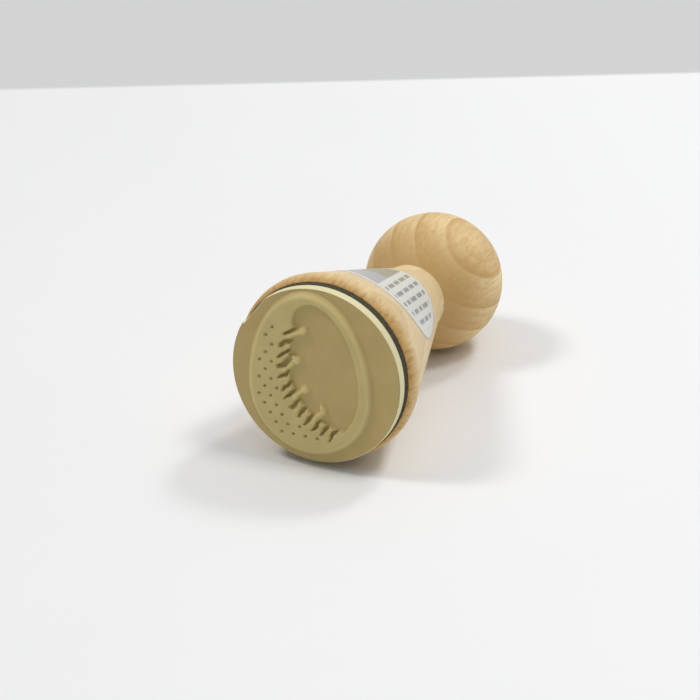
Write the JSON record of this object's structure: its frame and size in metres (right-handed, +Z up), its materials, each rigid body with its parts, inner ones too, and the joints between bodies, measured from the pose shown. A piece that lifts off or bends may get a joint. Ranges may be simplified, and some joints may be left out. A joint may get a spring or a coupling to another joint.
{
  "type": "clay stamp",
  "caption": "Hand stamp for clay: turned ball handle on a flared cone, foam cushion and round relief die, lying on its side.",
  "frame": {"origin": "centre of the stamping face, on the stamp's axis, in the plane of the relief's flat top", "axes": "+Y from the stamping face towards the ball, along the stamp's length but level with the table; the stamp's own axis dips 4.2 degrees below +Y towards the ball; +Z up from the table it lies on; +X to the right when the stamping face is looked at"},
  "size_m": [0.05, 0.1026, 0.0499],
  "materials": {
    "beech": "satin",
    "foam": "matte",
    "die_rubber": "matte",
    "label_paper": "matte"
  },
  "bodies": {
    "root": {"handle": "beech", "cushion": "foam", "die": "die_rubber", "label": "label_paper"}
  },
  "joints": []
}
